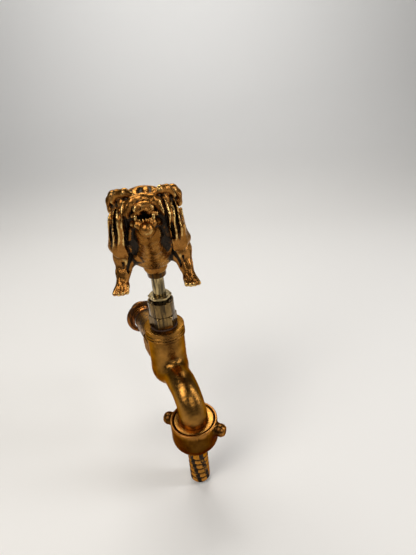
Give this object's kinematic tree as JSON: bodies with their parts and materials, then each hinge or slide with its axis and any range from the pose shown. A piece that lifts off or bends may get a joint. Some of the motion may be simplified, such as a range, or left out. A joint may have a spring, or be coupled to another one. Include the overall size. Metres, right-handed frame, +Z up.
{
  "type": "hose bib",
  "caption": "Screw-down brass hose tap on a short wall pipe, with a bulldog figure as its handle and a lugged union nut holding a barbed hose tail.",
  "frame": {"origin": "on the inlet pipe's axis at the wall's face, where the wall flange seats", "axes": "+Z up along the spindle, +Y into the wall along the inlet pipe, -Y the way the spout reaches"},
  "size_m": [0.0673, 0.148, 0.2437],
  "materials": {
    "antique_brass": "antiqued, black in the hollows",
    "cast_brass": "brushed casting",
    "polished_brass": "polished",
    "pipe_brass": "darkened",
    "flange_brass": "satin",
    "bronze": "satin, brown",
    "steel": "blackened",
    "rubber": "matt",
    "packing": "graphited yarn",
    "fibre": "red fibre"
  },
  "bodies": {
    "valve_body": {"valve_body": "cast_brass", "inlet_pipe": "pipe_brass", "bonnet": "polished_brass", "bonnet_gasket": "fibre", "gland_nut": "polished_brass", "gland_follower": "polished_brass", "gland_packing": "packing"},
    "wall_flange": {"wall_flange": "flange_brass"},
    "jumper": {"jumper_valve": "polished_brass", "jumper_washer": "rubber", "washer_nut": "polished_brass"},
    "handle": {"spindle": "polished_brass", "handle_socket": "pipe_brass", "grub_screw": "steel", "bulldog_handle": "antique_brass"},
    "union_washer": {"union_washer": "rubber"},
    "union_nut": {"union_nut": "bronze"},
    "hose_tail": {"hose_tail": "pipe_brass"}
  },
  "joints": [
    {"name": "flange_slide", "type": "slide", "parent": "valve_body", "child": "wall_flange", "axis": [0, -1, 0], "range_m": [0, 0.028]},
    {"name": "jumper_lift", "type": "slide", "parent": "valve_body", "child": "jumper", "axis": [0, 0, 1], "range_m": [0, 0.00501]},
    {"name": "handle_turn", "type": "hinge", "parent": "jumper", "child": "handle", "pos_m": [0, -0.07, 0], "axis": [0, 0, 1], "range_deg": [0, 900]},
    {"name": "union_drop", "type": "slide", "parent": "valve_body", "child": "union_washer", "axis": [0, 0, -1], "range_m": [0, 0.00908]},
    {"name": "union_nut_turn", "type": "hinge", "parent": "union_washer", "child": "union_nut", "pos_m": [0, -0.1152, 0], "axis": [0, 0, -1], "range_deg": [0, 1800]},
    {"name": "hose_tail_swivel", "type": "hinge", "parent": "union_washer", "child": "hose_tail", "pos_m": [0, -0.1152, 0], "axis": [0, 0, -1], "continuous": true}
  ],
  "couplings": [
    {"joint": "jumper_lift", "follows": "handle_turn", "m_per_rad": 0.00031831},
    {"joint": "union_drop", "follows": "union_nut_turn", "m_per_rad": 0.00028871}
  ]
}
